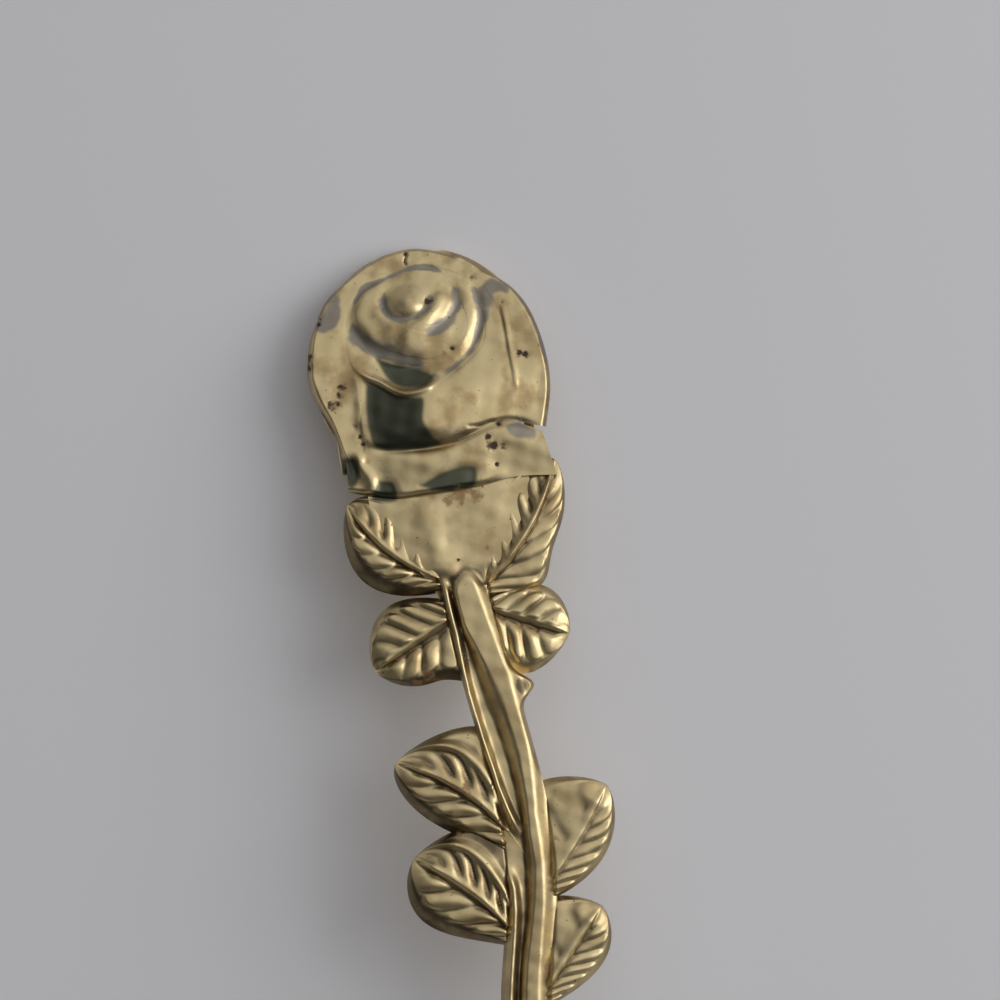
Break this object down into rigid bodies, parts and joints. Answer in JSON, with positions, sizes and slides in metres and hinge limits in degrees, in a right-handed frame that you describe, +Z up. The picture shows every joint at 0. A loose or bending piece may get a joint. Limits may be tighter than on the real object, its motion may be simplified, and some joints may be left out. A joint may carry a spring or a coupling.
{
  "type": "spoon",
  "caption": "Small spoon in worn gilt metal with an egg-shaped bowl and a handle shaped as a rose on a swaying stem with leaves.",
  "frame": {"origin": "the middle of the bowl's flat foot, on the table", "axes": "+Z up, +Y along the handle from the bowl to the rose, +X to the right seen from above with the rose away"},
  "size_m": [0.0232, 0.112, 0.0098],
  "materials": {
    "gilt_bowl": "worn gilding",
    "gilt_stem": "worn gilding",
    "gilt_base": "worn gilding",
    "gilt_petal": "worn gilding",
    "gilt_leaf": "worn gilding"
  },
  "bodies": {
    "root": {"bowl": "gilt_bowl", "stem": "gilt_stem", "rose_base": "gilt_base", "rose_heart": "gilt_petal", "rose_back_petal": "gilt_petal", "rose_left_petal": "gilt_petal", "rose_right_petal": "gilt_petal", "rose_front_petal": "gilt_petal", "rose_collar_petal": "gilt_petal", "rose_wrap_petal": "gilt_petal", "rose_inner_left_petal": "gilt_petal", "rose_inner_right_petal": "gilt_petal", "leaf_1_left": "gilt_leaf", "leaf_1_right": "gilt_leaf", "leaf_2_left": "gilt_leaf", "leaf_2_right": "gilt_leaf", "leaf_3_left": "gilt_leaf", "leaf_3_right": "gilt_leaf", "leaf_4_left": "gilt_leaf", "leaf_4_right": "gilt_leaf"}
  },
  "joints": []
}
